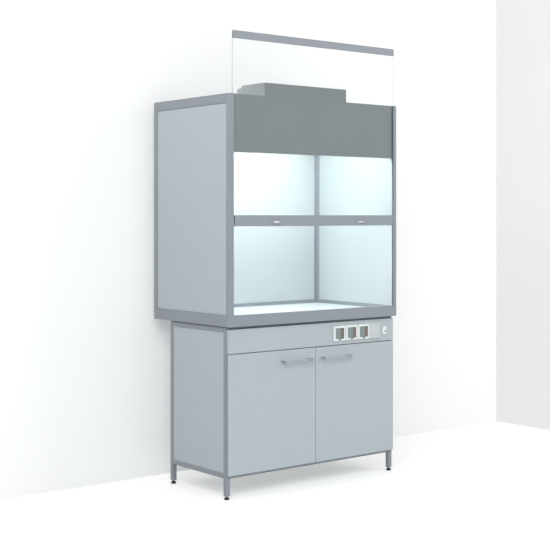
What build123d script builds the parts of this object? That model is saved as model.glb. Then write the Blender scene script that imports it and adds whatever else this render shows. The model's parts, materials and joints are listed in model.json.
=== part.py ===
from build123d import *
import os

# Floor-standing laboratory fume hood: a glazed chamber with a counterbalanced sliding
# sash, carried by a steel tube base with a two-door cupboard and a row of sockets.
# The origin is on the floor, under the middle of the whole object. +X is to the right
# of a person who faces the sash, +Y points to the back and +Z is up. Millimetres.

# Overall sizes
hood_width = 1200.0
hood_depth = 700.0
hood_height = 1200.0

# Levelling feet and base frame
foot_height = 18.0
foot_radius = 13.5
foot_neck_radius = 6.0
foot_pad_edge = 4.0
foot_dome_radius = 10.8
foot_dome_level = 9.9
foot_stem_radius = 4.0
foot_stem_length = 28.0
foot_thread_clearance = 0.08
leg_plug_height = 22.0
leg_length = 868.0
base_tube = 25.0
base_tube_wall = 1.5
base_tube_corner = 2.0
base_side_inset = 10.0
base_depth = 514.0
bottom_rail_level = 90.0
middle_rail_level = 719.0
pad_height = 4.0
pad_width = 18.0
pad_length = 40.0

# Boards of the base
board = 16.0
board_recess = 4.0
board_edge_round = 1.0

# Doors and their pivots
door_side_inset = 15.0
door_front_setback = 20.0
door_back_gap = 1.0
door_bottom = 123.0
door_top = 747.0
door_gap = 3.0
door_pivot_edge_round = 4.0
pivot_from_edge = 4.0
pivot_from_back = 4.5
pivot_pin_radius = 2.0
pivot_bore_clearance = 0.1
pivot_bore_depth = 14.0
pivot_pin_length = 13.0
pivot_plate = 1.5
pivot_plate_width = 12.0
pivot_plate_gap = 1.5

# Door handles
handle_length = 200.0
handle_bar_radius = 4.5
handle_collar_radius = 7.5
handle_collar_width = 14.0
handle_collar_round = 1.0
handle_stem_radius = 5.0
handle_stem_foot_radius = 7.0
handle_stem_foot_height = 3.0
handle_reach = 30.0
handle_level = 687.0
handle_from_centre = 41.0

# Service panel
service_bottom = 751.0
service_top = 876.0
fitting_level = 813.0

# Sockets
socket_count = 3
socket_pitch = 90.0
socket_to_breaker = 87.5
socket_frame = 81.0
socket_proud = 9.0
socket_corner = 4.0
socket_window_width = 62.0
socket_window_height = 60.0
socket_window_depth = 8.0
socket_body_radius = 30.0
socket_body_depth = 24.0
socket_well_radius = 21.5
socket_well_depth = 14.0
socket_pin_radius = 2.6
socket_pin_spacing = 19.0
socket_pin_depth = 12.0
body_hole_clearance = 0.5
lid_thickness = 3.0
lid_gap = 0.3
lid_tab_width = 20.0
lid_tab_height = 8.0
small_pin_clearance = 0.05
lid_pin_radius = 0.8
lid_pin_reach = 3.0

# Breaker box
breaker_to_switch = 77.0
breaker_width = 74.0
breaker_height = 84.0
breaker_proud = 8.0
breaker_body_depth = 40.0
breaker_body_width = 54.0
breaker_body_height = 62.0
breaker_window_width = 36.0
breaker_window_height = 44.0
breaker_window_depth = 6.0
breaker_cover_bulge = 11.0
breaker_cover_wall = 1.6
breaker_cover_margin = 2.0
cover_barrel_radius = 2.2
cover_pin_radius = 1.0
cover_pin_reach = 4.0
lever_width = 14.0
lever_hub_radius = 4.0
lever_pin_radius = 1.5
lever_reach = 11.0
lever_thickness = 3.0
lever_tilt = 25.0
lever_gap = 0.3

# Light switch
switch_from_panel_end = 71.0
switch_width = 26.0
switch_height = 45.0
switch_proud = 8.0
switch_corner = 5.0
rocker_width = 16.0
rocker_height = 17.0
rocker_edge_reach = 3.2
rocker_middle_reach = 1.2
rocker_back_reach = 3.0
rocker_back_height = 16.0
rocker_axis_depth = 1.0
rocker_pin_radius = 1.2
rocker_tilt = 7.0
rocker_above_middle = 11.0
rocker_gap = 0.8
rocker_pocket_depth = 7.0
lens_radius = 6.0
lens_proud = 4.0
lens_below_middle = 7.5
lens_right_of_middle = 2.5
lens_pocket_depth = 3.0

# Hood frame profiles
profile_wall = 2.0
side_thickness = 32.0
front_post_depth = 24.0
front_post_round = 15.0
rear_post_depth = 30.0
lower_rail_height = 60.0
upper_rail_height = 48.0
sash_groove_lip = 1.5
sash_groove_width = 9.0
sash_groove_depth = 20.0
liner_pocket = 8.0
weight_groove_setback = 13.0
weight_groove_width = 12.0
inner_strip = 21.0

# Panels of the hood
side_panel_recess = 5.0
liner_thickness = 4.0
liner_recess = 2.0
rear_cover_thickness = 2.0
worktop_thickness = 18.0
worktop_below_rail = 20.0
worktop_edge_round = 1.5
fascia_height = 300.0
fascia_thickness = 2.0
fascia_flange = 15.0
roof_thickness = 3.0

# Lamp housing on the roof
lamp_width = 584.0
lamp_setback = 98.0
lamp_depth = 204.0
lamp_height = 84.0
lamp_wall = 1.5
gear_depth = 39.0
gear_height = 70.0
lamp_opening_end_margin = 14.0
lamp_opening_side_margin = 22.0
lamp_glass_overlap = 8.0
lamp_glass_thickness = 4.0
tube_radius = 8.0
tube_cap_radius = 8.5
tube_cap_length = 12.0
tube_from_side = 62.0
tube_level = 42.0
lamp_holder_size = 22.0
lamp_holder_depth = 16.0

# Exhaust spigot between the gear box and the rear rail: its two gaps and its own
# radius, as shares of its flange's radius
spigot_front_gap_share = 0.272
spigot_back_gap_share = 0.36
spigot_radius_share = 0.8
spigot_wall = 1.5
spigot_height = 58.0
spigot_flange_thickness = 2.0

# Sash
sash_height = 1007.0
sash_closing_gap = 1.0
sash_down_travel = 456.0
sash_glass = 5.0
sash_groove_middle = 6.0
sash_glass_side_inset = 25.0
sash_lower_rail_height = 58.0
sash_lower_rail_thickness = 16.0
sash_lower_rail_side_inset = 37.0
sash_glass_seat = 25.0
sash_rail_wall = 2.0
sash_top_rail_height = 40.0
sash_top_rail_thickness = 8.0
sash_top_rail_side_inset = 28.0
sash_top_rail_cover = 10.0
sash_rail_edge_round = 1.0
sash_lug_height = 22.0
sash_lug_thickness = 7.4
pull_length = 42.0
pull_radius = 5.5
pull_end_round = 1.5
pull_foot_radius = 3.5
pull_standoff = 3.0
pull_from_centre = 300.0
pull_level_on_rail = 21.0

# Belts, pulleys and counterweight
belt_thickness = 2.0
belt_width = 6.0
belt_side_inset = 14.0
belt_clearance = 0.3
pulley_radius = 16.0
pulley_flange_radius = 18.0
pulley_width = 9.0
pulley_flange_thickness = 1.0
pulley_from_hood_edge = 26.0
pulley_side_inset = 12.5
sync_shaft_radius = 4.0
idler_axle_radius = 3.0
bearing_clearance = 0.05
bearing_size = 22.0
bearing_depth = 9.0
shaft_end_gap = 1.0
shaft_hole_clearance = 1.5
weight_thickness = 10.0
weight_height = 178.0
weight_side_gap = 4.0
weight_above_lower_rail = 340.0
weight_lug_height = 60.0
belt_slot_gap = 0.3

# Levels that follow
hood_bottom = foot_height + leg_length + pad_height
hood_top = hood_bottom + hood_height
rail_top = hood_bottom + lower_rail_height
top_rail_bottom = hood_top - upper_rail_height
worktop_top = rail_top - worktop_below_rail
fascia_bottom = hood_top - fascia_height
frame_top = foot_height + leg_length
bottom_rail_bottom = foot_height + bottom_rail_level
bottom_rail_top = bottom_rail_bottom + base_tube
middle_rail_bottom = foot_height + middle_rail_level
upper_rail_bottom = frame_top - base_tube
sash_bottom = rail_top + sash_closing_gap + sash_down_travel
sash_top = sash_bottom + sash_height
sash_rail_top = sash_bottom + sash_lower_rail_height
sash_top_rail_bottom = sash_top - sash_top_rail_height

# Distances to the middle plane that follow
half_width = hood_width / 2
half_clear = half_width - side_thickness
base_half = half_width - base_side_inset
base_half_clear = base_half - base_tube
door_half = half_width - door_side_inset

# Depths that follow: the front face of the posts is set so that the origin is
# under the middle of the whole object, from the foremost pull or handle to the back.
sash_rail_front = sash_groove_middle - sash_lower_rail_thickness / 2
pull_front = sash_rail_front - pull_standoff - 2 * pull_radius
handle_front = door_front_setback - handle_reach - handle_collar_radius
foremost = min(pull_front, handle_front)
front = -(hood_depth + foremost) / 2
back = front + hood_depth
frame_front = front + door_front_setback + board + door_back_gap
frame_back = frame_front + base_depth
rear_post_front = back - rear_post_depth
door_front = front + door_front_setback
door_back = door_front + board
service_back = frame_front
service_front = service_back - board
groove_front = front + sash_groove_lip
groove_back = groove_front + sash_groove_width
groove_middle = front + sash_groove_middle
shoulder = groove_back + profile_wall
weight_groove_front = rear_post_front + weight_groove_setback
weight_groove_back = weight_groove_front + weight_groove_width
weight_middle = (weight_groove_front + weight_groove_back) / 2

# Belt path that follows
belt_radius = pulley_radius + belt_clearance
front_pulley_y = groove_middle + belt_thickness / 2 + belt_radius
rear_pulley_y = weight_middle - belt_thickness / 2 - belt_radius
low_pulley_z = hood_bottom + pulley_from_hood_edge
high_pulley_z = hood_top - pulley_from_hood_edge


def block(x, y, z, mode=Mode.ADD):
    """A block between pairs of limits, in the part being built."""
    with Locations((x[0], y[0], z[0])):
        Box(x[1] - x[0], y[1] - y[0], z[1] - z[0], align=(Align.MIN,) * 3, mode=mode)


def rod_along_x(x, y, z, radius, mode=Mode.ADD):
    """A round rod or bore along X, in the part being built."""
    with Locations(((x[0] + x[1]) / 2, y, z)):
        Cylinder(radius, x[1] - x[0], rotation=(0, 90, 0), mode=mode)


def rod_along_y(x, y, z, radius, mode=Mode.ADD):
    """A round rod or bore along Y, in the part being built."""
    with Locations((x, (y[0] + y[1]) / 2, z)):
        Cylinder(radius, y[1] - y[0], rotation=(90, 0, 0), mode=mode)


def rod_upright(x, y, z, radius, mode=Mode.ADD):
    """A round rod or bore along Z, in the part being built."""
    with Locations((x, y, (z[0] + z[1]) / 2)):
        Cylinder(radius, z[1] - z[0], mode=mode)


def square_tube(plane, centre, length):
    """One length of the base's square steel tube, from a plane along its normal."""
    with BuildPart() as bar:
        with BuildSketch(plane):
            with Locations(centre):
                RectangleRounded(base_tube, base_tube, base_tube_corner)
                inside = base_tube - 2 * base_tube_wall
                Rectangle(inside, inside, mode=Mode.SUBTRACT)
        extrude(amount=length)
    return bar.part


def hollow_rail(x, y, z, open_axis):
    """One length of rectangular hood profile, open at both ends along an axis."""
    wall = profile_wall
    inner = [(a + wall, b - wall) for a, b in (x, y, z)]
    inner[open_axis] = (x, y, z)[open_axis]
    with BuildPart() as rail:
        block(x, y, z)
        block(*inner, mode=Mode.SUBTRACT)
    return rail.part


def fused(label, solids):
    """One node that holds separate solids of the same kind."""
    with BuildPart() as group:
        add(solids)
    group.part.label = label
    export_step(group.part, f"parts/{label}.step")


def mirrored(label, piece):
    """The left-hand piece's twin on the right, written under its own name."""
    with BuildPart() as twin:
        mirror(piece, about=Plane.YZ)
    twin.part.label = label
    export_step(twin.part, f"parts/{label}.step")


os.makedirs("parts", exist_ok=True)

# Base legs with a threaded plug at the foot of each
leg_x = base_half - base_tube / 2
leg_front_y = frame_front + base_tube / 2
leg_rear_y = frame_back - base_tube / 2
leg_places = [(sx * leg_x, y) for sx in (-1, 1) for y in (leg_front_y, leg_rear_y)]
legs = []
for place in leg_places:
    leg_tube = square_tube(Plane.XY.offset(foot_height), place, leg_length)
    with BuildPart() as leg:
        add(leg_tube)
        half_bore = base_tube / 2 - base_tube_wall
        block(
            (place[0] - half_bore, place[0] + half_bore),
            (place[1] - half_bore, place[1] + half_bore),
            (foot_height, foot_height + leg_plug_height),
        )
        thread = (foot_height, foot_height + leg_plug_height)
        bore = foot_stem_radius + foot_thread_clearance
        rod_upright(*place, thread, bore, mode=Mode.SUBTRACT)
    legs.append(leg.part)
fused("base_legs", legs)


def rail_ring(z_middle):
    """Four base rails between the legs at one level."""
    rails = []
    for y in (leg_front_y, leg_rear_y):
        plane = Plane.YZ.offset(-base_half_clear)
        rails.append(square_tube(plane, (y, z_middle), 2 * base_half_clear))
    for sx in (-1, 1):
        plane = Plane.ZX.offset(frame_front + base_tube)
        rails.append(square_tube(plane, (z_middle, sx * leg_x), base_depth - 2 * base_tube))
    return rails


fused("base_bottom_rails", rail_ring(bottom_rail_bottom + base_tube / 2))
middle_place = (leg_front_y, middle_rail_bottom + base_tube / 2)
middle_rail = square_tube(Plane.YZ.offset(-base_half_clear), middle_place, 2 * base_half_clear)
fused("base_upper_rails", rail_ring(upper_rail_bottom + base_tube / 2) + [middle_rail])

# Levelling feet
foot_names = ["foot_front_left", "foot_rear_left", "foot_front_right", "foot_rear_right"]
for name, place in zip(foot_names, leg_places):
    with BuildPart() as foot:
        with BuildSketch(Plane.XZ):
            with BuildLine():
                Line((0, 0), (foot_radius, 0))
                Line((foot_radius, 0), (foot_radius, foot_pad_edge))
                ThreePointArc(
                    (foot_radius, foot_pad_edge),
                    (foot_dome_radius, foot_dome_level),
                    (foot_neck_radius, foot_height - foot_pad_edge),
                )
                Line((foot_neck_radius, foot_height - foot_pad_edge), (foot_neck_radius, foot_height))
                Line((foot_neck_radius, foot_height), (0, foot_height))
                Line((0, foot_height), (0, 0))
            make_face()
        revolve(axis=Axis.Z)
        rod_upright(0, 0, (foot_height, foot_height + foot_stem_length), foot_stem_radius)
    placed_foot = foot.part.moved(Location((place[0], place[1], 0)))
    fused(name, [placed_foot])

# Base side, back and floor boards
side_board_outer = base_half - board_recess
side_board_inner = side_board_outer - board
side_boards = []
for sx in (-1, 1):
    with BuildPart() as base_side:
        limits = sorted((sx * side_board_outer, sx * side_board_inner))
        depth_limits = (frame_front + base_tube, frame_back - base_tube)
        block(limits, depth_limits, (bottom_rail_top, upper_rail_bottom))
    side_boards.append(base_side.part)
fused("base_side_panels", side_boards)

back_board_rear = frame_back - board_recess
back_board_front = back_board_rear - board
with BuildPart() as base_back_panel:
    block(
        (-base_half_clear, base_half_clear),
        (back_board_front, back_board_rear),
        (bottom_rail_top, upper_rail_bottom),
    )
base_back_panel.part.label = "base_back_panel"
export_step(base_back_panel.part, "parts/base_back_panel.step")

with BuildPart() as base_floor:
    floor_z = (bottom_rail_top, bottom_rail_top + board)
    block((-base_half_clear, base_half_clear), (frame_front, back_board_front), floor_z)
    block(
        (-side_board_inner, side_board_inner),
        (frame_front + base_tube, frame_back - base_tube),
        floor_z,
    )
base_floor.part.label = "base_floor"
export_step(base_floor.part, "parts/base_floor.step")

# Pads between the base frame and the hood
pads = []
pad_x = half_width - side_thickness + pad_width / 2 + profile_wall
for sx in (-1, 1):
    for y in (frame_front + base_tube + pad_length, frame_back - base_tube - pad_length):
        with BuildPart() as pad:
            block(
                (sx * pad_x - pad_width / 2, sx * pad_x + pad_width / 2),
                (y - pad_length / 2, y + pad_length / 2),
                (frame_top, hood_bottom),
            )
        pads.append(pad.part)
fused("hood_pads", pads)

# Service panel, bored for its fittings
switch_x = door_half - switch_from_panel_end
breaker_x = switch_x - breaker_to_switch
last_socket_x = breaker_x - socket_to_breaker
socket_x = [last_socket_x - i * socket_pitch for i in reversed(range(socket_count))]
with BuildPart() as service_panel:
    block((-door_half, door_half), (service_front, service_back), (service_bottom, service_top))
    fillet(service_panel.edges().group_by(Axis.Y)[0], board_edge_round)
    for x in socket_x:
        hole = socket_body_radius + body_hole_clearance
        rod_along_y(x, (service_front, service_back), fitting_level, hole, mode=Mode.SUBTRACT)
    breaker_hole_x = breaker_body_width / 2 + body_hole_clearance
    breaker_hole_z = breaker_body_height / 2 + body_hole_clearance
    block(
        (breaker_x - breaker_hole_x, breaker_x + breaker_hole_x),
        (service_front, service_back),
        (fitting_level - breaker_hole_z, fitting_level + breaker_hole_z),
        mode=Mode.SUBTRACT,
    )
service_panel.part.label = "service_panel"
export_step(service_panel.part, "parts/service_panel.step")

# Doors, bored top and bottom for their pivot pins
pivot_x = door_half - pivot_from_edge
pivot_y = door_back - pivot_from_back
pin_levels = [(door_bottom, door_bottom + pivot_bore_depth), (door_top - pivot_bore_depth, door_top)]
with BuildPart() as door_left:
    block((-door_half, -door_gap / 2), (door_front, door_back), (door_bottom, door_top))
    uprights = door_left.edges().filter_by(Axis.Z)
    fillet(uprights.sort_by(Axis.X)[:2].sort_by(Axis.Y)[-1], door_pivot_edge_round)
    fillet(door_left.edges().group_by(Axis.Y)[0], board_edge_round)
    for level in pin_levels:
        bore = pivot_pin_radius + pivot_bore_clearance
        rod_upright(-pivot_x, pivot_y, level, bore, mode=Mode.SUBTRACT)
door_left.part.label = "door_left"
export_step(door_left.part, "parts/door_left.step")
mirrored("door_right", door_left.part)

# Pivot plates: the upper ones under the service panel, the lower ones on the bottom rail
upper_plate = (service_bottom - pivot_plate, service_bottom)
lower_plate_top = door_bottom - pivot_plate_gap
lower_plate = (lower_plate_top - pivot_plate, lower_plate_top)
plate_edges = (pivot_y - pivot_plate_width / 2, frame_front)
pivots = []
for sx in (-1, 1):
    x = sx * pivot_x
    plate_x = (x - pivot_plate_width / 2, x + pivot_plate_width / 2)
    with BuildPart() as upper_pivot:
        block(plate_x, plate_edges, upper_plate)
        pin_z = (door_top - pivot_pin_length, upper_plate[0])
        rod_upright(x, pivot_y, pin_z, pivot_pin_radius)
    pivots.append(upper_pivot.part)
    with BuildPart() as lower_pivot:
        block(plate_x, plate_edges, lower_plate)
        pin_z = (lower_plate_top, door_bottom + pivot_pin_length)
        rod_upright(x, pivot_y, pin_z, pivot_pin_radius)
    pivots.append(lower_pivot.part)
fused("door_pivots", pivots)

# Door handles: a bar through two collars on stems
handle_near = handle_from_centre
handle_far = handle_near + handle_length
handle_y = door_front - handle_reach
with BuildPart() as handle_left:
    rod_along_x((-handle_far, -handle_near), handle_y, handle_level, handle_bar_radius)
    for x in (-handle_far, -handle_near - handle_collar_width):
        collar = (x, x + handle_collar_width)
        rod_along_x(collar, handle_y, handle_level, handle_collar_radius)
    rims = handle_left.edges().filter_by(GeomType.CIRCLE)
    fillet(rims.filter_by(lambda e: e.radius > handle_bar_radius), handle_collar_round)
    for x in (-handle_far + handle_collar_width / 2, -handle_near - handle_collar_width / 2):
        rod_along_y(x, (handle_y, door_front), handle_level, handle_stem_radius)
        foot_limits = (door_front - handle_stem_foot_height, door_front)
        rod_along_y(x, foot_limits, handle_level, handle_stem_foot_radius)
handle_left.part.label = "handle_left"
export_step(handle_left.part, "parts/handle_left.step")
mirrored("handle_right", handle_left.part)

# Sockets: frame, body and well in one moulding, and a lid on the window's top edge
socket_front = service_front - socket_proud
window_back = socket_front + socket_window_depth
window_top = fitting_level + socket_window_height / 2
window_bottom = fitting_level - socket_window_height / 2
lid_axis_y = socket_front + lid_thickness / 2
lid_axis_z = window_top - lid_gap - lid_thickness / 2
for i, x in enumerate(socket_x):
    with BuildPart() as socket:
        with BuildSketch(Plane.XZ.offset(-service_front)):
            with Locations((x, fitting_level)):
                RectangleRounded(socket_frame, socket_frame, socket_corner)
        extrude(amount=socket_proud)
        fillet(socket.edges().group_by(Axis.Y)[0], board_edge_round)
        body_limits = (service_front, service_front + socket_body_depth)
        rod_along_y(x, body_limits, fitting_level, socket_body_radius)
        block(
            (x - socket_window_width / 2, x + socket_window_width / 2),
            (socket_front, window_back),
            (window_bottom, window_top),
            mode=Mode.SUBTRACT,
        )
        block(
            (x - lid_tab_width / 2 - lid_gap, x + lid_tab_width / 2 + lid_gap),
            (socket_front, window_back),
            (window_bottom - lid_tab_height - lid_gap, window_bottom),
            mode=Mode.SUBTRACT,
        )
        well_floor = window_back + socket_well_depth
        rod_along_y(
            x, (window_back, well_floor), fitting_level, socket_well_radius, mode=Mode.SUBTRACT
        )
        for side in (-1, 1):
            pin_x = x + side * socket_pin_spacing / 2
            pin_hole = (well_floor, well_floor + socket_pin_depth)
            rod_along_y(pin_x, pin_hole, fitting_level, socket_pin_radius, mode=Mode.SUBTRACT)
            jamb = x + side * socket_window_width / 2
            lid_pin = sorted((jamb, jamb - side * lid_pin_reach))
            rod_along_x(lid_pin, lid_axis_y, lid_axis_z, lid_pin_radius)
    socket.part.label = f"socket_{i + 1}"
    export_step(socket.part, f"parts/socket_{i + 1}.step")

    with BuildPart() as socket_lid:
        lid_half = socket_window_width / 2 - lid_gap
        lid_x = (x - lid_half, x + lid_half)
        lid_y = (socket_front, socket_front + lid_thickness)
        rod_along_x(lid_x, lid_axis_y, lid_axis_z, lid_thickness / 2)
        block(lid_x, lid_y, (window_bottom + lid_gap, lid_axis_z))
        tab_z = (window_bottom - lid_tab_height + lid_gap, window_bottom + lid_gap)
        block((x - lid_tab_width / 2, x + lid_tab_width / 2), lid_y, tab_z)
        lid_bore = lid_pin_radius + small_pin_clearance
        rod_along_x(lid_x, lid_axis_y, lid_axis_z, lid_bore, mode=Mode.SUBTRACT)
    socket_lid.part.label = f"socket_lid_{i + 1}"
    export_step(socket_lid.part, f"parts/socket_lid_{i + 1}.step")

# Breaker box: body through the panel, toggle lever and a bulging hinged cover
breaker_front = service_front - breaker_proud
cover_half = breaker_width / 2 - breaker_cover_margin
cover_low = fitting_level - breaker_height / 2 + breaker_cover_margin
cover_high = fitting_level + breaker_height / 2 - breaker_cover_margin
cover_back = breaker_front - lid_gap
cover_axis_y = cover_back - cover_barrel_radius
cover_axis_z = cover_high - cover_barrel_radius
lever_y = breaker_front + breaker_window_depth + lever_hub_radius
lever_x = (breaker_x - lever_width / 2, breaker_x + lever_width / 2)
with BuildPart() as breaker_body:
    with BuildSketch(Plane.XZ.offset(-service_front)):
        with Locations((breaker_x, fitting_level)):
            RectangleRounded(breaker_width, breaker_height, socket_corner)
    extrude(amount=breaker_proud)
    block(
        (breaker_x - breaker_body_width / 2, breaker_x + breaker_body_width / 2),
        (service_front, service_front + breaker_body_depth),
        (fitting_level - breaker_body_height / 2, fitting_level + breaker_body_height / 2),
    )
    block(
        (breaker_x - breaker_window_width / 2, breaker_x + breaker_window_width / 2),
        (breaker_front, breaker_front + breaker_window_depth),
        (fitting_level - breaker_window_height / 2, fitting_level + breaker_window_height / 2),
        mode=Mode.SUBTRACT,
    )
    hub_room = lever_hub_radius + lever_gap
    lever_room = (lever_x[0] - lever_gap, lever_x[1] + lever_gap)
    rod_along_x(lever_room, lever_y, fitting_level, hub_room, mode=Mode.SUBTRACT)
    block(
        lever_room,
        (breaker_front, lever_y),
        (fitting_level - hub_room, fitting_level + hub_room),
        mode=Mode.SUBTRACT,
    )
    rod_along_x(lever_room, lever_y, fitting_level, lever_pin_radius)
    for side in (-1, 1):
        ear = breaker_x + side * (cover_half + lid_gap)
        block(
            sorted((ear, breaker_x + side * breaker_width / 2)),
            (cover_axis_y - cover_barrel_radius, breaker_front),
            (cover_axis_z - cover_barrel_radius, cover_axis_z + cover_barrel_radius),
        )
        cover_pin = sorted((ear, ear - side * cover_pin_reach))
        rod_along_x(cover_pin, cover_axis_y, cover_axis_z, cover_pin_radius)
breaker_body.part.label = "breaker_body"
export_step(breaker_body.part, "parts/breaker_body.step")

with BuildPart() as breaker_lever:
    rod_along_x(lever_x, lever_y, fitting_level, lever_hub_radius)
    block(
        lever_x,
        (lever_y - lever_reach, lever_y),
        (fitting_level - lever_thickness / 2, fitting_level + lever_thickness / 2),
    )
    lever_bore = lever_pin_radius + small_pin_clearance
    rod_along_x(lever_x, lever_y, fitting_level, lever_bore, mode=Mode.SUBTRACT)
lever_axis = Axis((breaker_x, lever_y, fitting_level), (1, 0, 0))
fused("breaker_lever", [breaker_lever.part.rotate(lever_axis, -lever_tilt)])

with BuildPart() as breaker_cover:
    with BuildSketch(Plane.XY.offset(cover_low)):
        for wall, mode in ((0.0, Mode.ADD), (breaker_cover_wall, Mode.SUBTRACT)):
            with BuildLine():
                reach = cover_half - wall
                bulge = breaker_cover_bulge - wall
                left_end = (breaker_x - reach, cover_back)
                right_end = (breaker_x + reach, cover_back)
                ThreePointArc(left_end, (breaker_x, cover_back - bulge), right_end)
                Line(right_end, left_end)
            make_face(mode=mode)
    extrude(amount=cover_high - cover_low)
    for level in (cover_low, cover_high - breaker_cover_wall):
        with BuildSketch(Plane.XY.offset(level)):
            with BuildLine():
                left_end = (breaker_x - cover_half, cover_back)
                right_end = (breaker_x + cover_half, cover_back)
                ThreePointArc(left_end, (breaker_x, cover_back - breaker_cover_bulge), right_end)
                Line(right_end, left_end)
            make_face()
        extrude(amount=breaker_cover_wall)
    cover_x = (breaker_x - cover_half, breaker_x + cover_half)
    corner_z = (cover_axis_z, cover_high)
    block(cover_x, (cover_axis_y, cover_back), corner_z, mode=Mode.SUBTRACT)
    rod_along_x(cover_x, cover_axis_y, cover_axis_z, cover_barrel_radius)
    cover_bore = cover_pin_radius + small_pin_clearance
    rod_along_x(cover_x, cover_axis_y, cover_axis_z, cover_bore, mode=Mode.SUBTRACT)
breaker_cover.part.label = "breaker_cover"
export_step(breaker_cover.part, "parts/breaker_cover.step")

# Light switch: body, rocker and indicator lens
switch_front = service_front - switch_proud
rocker_z = fitting_level + rocker_above_middle
lens_x = switch_x + lens_right_of_middle
lens_z = fitting_level - lens_below_middle
rocker_axis_y = switch_front + rocker_axis_depth
rocker_x = (switch_x - rocker_width / 2, switch_x + rocker_width / 2)
with BuildPart() as switch_body:
    with BuildSketch(Plane.XZ.offset(-service_front)):
        with Locations((switch_x, fitting_level)):
            RectangleRounded(switch_width, switch_height, switch_corner)
    extrude(amount=switch_proud)
    fillet(switch_body.edges().group_by(Axis.Y)[0], board_edge_round)
    rocker_room = (rocker_x[0] - rocker_gap, rocker_x[1] + rocker_gap)
    rocker_room_z = rocker_height / 2 + rocker_gap
    block(
        rocker_room,
        (switch_front, switch_front + rocker_pocket_depth),
        (rocker_z - rocker_room_z, rocker_z + rocker_room_z),
        mode=Mode.SUBTRACT,
    )
    rod_along_x(rocker_room, rocker_axis_y, rocker_z, rocker_pin_radius)
    lens_pocket = (switch_front, switch_front + lens_pocket_depth)
    rod_along_y(lens_x, lens_pocket, lens_z, lens_radius, mode=Mode.SUBTRACT)
switch_body.part.label = "switch_body"
export_step(switch_body.part, "parts/switch_body.step")

with BuildPart() as switch_rocker:
    edge_y = rocker_axis_y - rocker_edge_reach
    back_y = rocker_axis_y + rocker_back_reach
    with BuildSketch(Plane.YZ.offset(rocker_x[0])):
        with BuildLine():
            Polyline(
                (edge_y, rocker_z + rocker_height / 2),
                (rocker_axis_y - rocker_middle_reach, rocker_z),
                (edge_y, rocker_z - rocker_height / 2),
                (back_y, rocker_z - rocker_back_height / 2),
                (back_y, rocker_z + rocker_back_height / 2),
                close=True,
            )
        make_face()
    extrude(amount=rocker_width)
    rocker_hub = rocker_pin_radius + small_pin_clearance
    rod_along_x(rocker_x, rocker_axis_y, rocker_z, 2 * rocker_hub)
    rod_along_x(rocker_x, rocker_axis_y, rocker_z, rocker_hub, mode=Mode.SUBTRACT)
rocker_axis = Axis((switch_x, rocker_axis_y, rocker_z), (1, 0, 0))
fused("switch_rocker", [switch_rocker.part.rotate(rocker_axis, rocker_tilt)])

lens_sphere = (lens_radius**2 + lens_proud**2) / (2 * lens_proud)
lens_dome = (lens_radius / 2, (lens_sphere**2 - lens_radius**2 / 4) ** 0.5 + lens_proud - lens_sphere)
with BuildPart() as switch_lens:
    with BuildSketch(Plane.XZ):
        with BuildLine():
            Line((0, -lens_pocket_depth), (lens_radius, -lens_pocket_depth))
            Line((lens_radius, -lens_pocket_depth), (lens_radius, 0))
            ThreePointArc((lens_radius, 0), lens_dome, (0, lens_proud))
            Line((0, lens_proud), (0, -lens_pocket_depth))
        make_face()
    revolve(axis=Axis.Z)
lens_place = Location((lens_x, switch_front, lens_z), (90, 0, 0))
fused("switch_lens", [switch_lens.part.moved(lens_place)])

# Front posts: a rounded corner, a sash and belt groove, a cavity and a liner pocket
rail_z = {"low": (hood_bottom, rail_top), "high": (top_rail_bottom, hood_top)}
window_z = {
    "low": (hood_bottom + profile_wall, rail_top - profile_wall),
    "high": (top_rail_bottom + profile_wall, hood_top - profile_wall),
}
outer = -half_width
inner = -half_clear
pocket_wall = inner - liner_pocket
front_post_back = front + front_post_depth
with BuildPart() as post_front_left:
    with BuildSketch(Plane.XY.offset(hood_bottom)) as front_section:
        with BuildLine():
            Polyline(
                (outer, front),
                (inner, front),
                (inner, shoulder),
                (pocket_wall, shoulder),
                (pocket_wall, front_post_back),
                (outer, front_post_back),
                close=True,
            )
        make_face()
        corner = front_section.vertices().sort_by(lambda v: v.X + v.Y)[0]
        fillet(corner, front_post_round)
    extrude(amount=hood_height)
    post_z = (hood_bottom, hood_top)
    groove_x = (inner - sash_groove_depth, inner)
    cavity_x = (outer + profile_wall, pocket_wall - profile_wall)
    block(groove_x, (groove_front, groove_back), post_z, mode=Mode.SUBTRACT)
    cavity_y = (shoulder, front_post_back - profile_wall)
    block(cavity_x, cavity_y, post_z, mode=Mode.SUBTRACT)
    for level in window_z.values():
        block(cavity_x, (groove_back, front_post_back), level, mode=Mode.SUBTRACT)
    shaft_hole = sync_shaft_radius + shaft_hole_clearance
    shaft_run = (pocket_wall - profile_wall, inner)
    rod_along_x(shaft_run, front_pulley_y, high_pulley_z, shaft_hole, mode=Mode.SUBTRACT)
post_front_left.part.label = "post_front_left"
export_step(post_front_left.part, "parts/post_front_left.step")
mirrored("post_front_right", post_front_left.part)

# Rear posts: a counterweight and belt groove, a cavity and two inner corner strips
with BuildPart() as post_rear_left:
    block((outer, inner), (rear_post_front, back), post_z)
    rear_cavity_x = (outer + profile_wall, inner - profile_wall)
    rear_cavity_y = (rear_post_front + profile_wall, weight_groove_front - profile_wall)
    block(rear_cavity_x, rear_cavity_y, post_z, mode=Mode.SUBTRACT)
    block(groove_x, (weight_groove_front, weight_groove_back), post_z, mode=Mode.SUBTRACT)
    for level in window_z.values():
        block(cavity_x, (rear_post_front, weight_groove_front), level, mode=Mode.SUBTRACT)
    strip_z = (rail_top, top_rail_bottom)
    side_strip = (rear_post_front - inner_strip, rear_post_front)
    block((inner - profile_wall, inner), side_strip, strip_z)
    block((inner, inner + inner_strip), (rear_post_front, rear_post_front + profile_wall), strip_z)
post_rear_left.part.label = "post_rear_left"
export_step(post_rear_left.part, "parts/post_rear_left.step")
mirrored("post_rear_right", post_rear_left.part)

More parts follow.
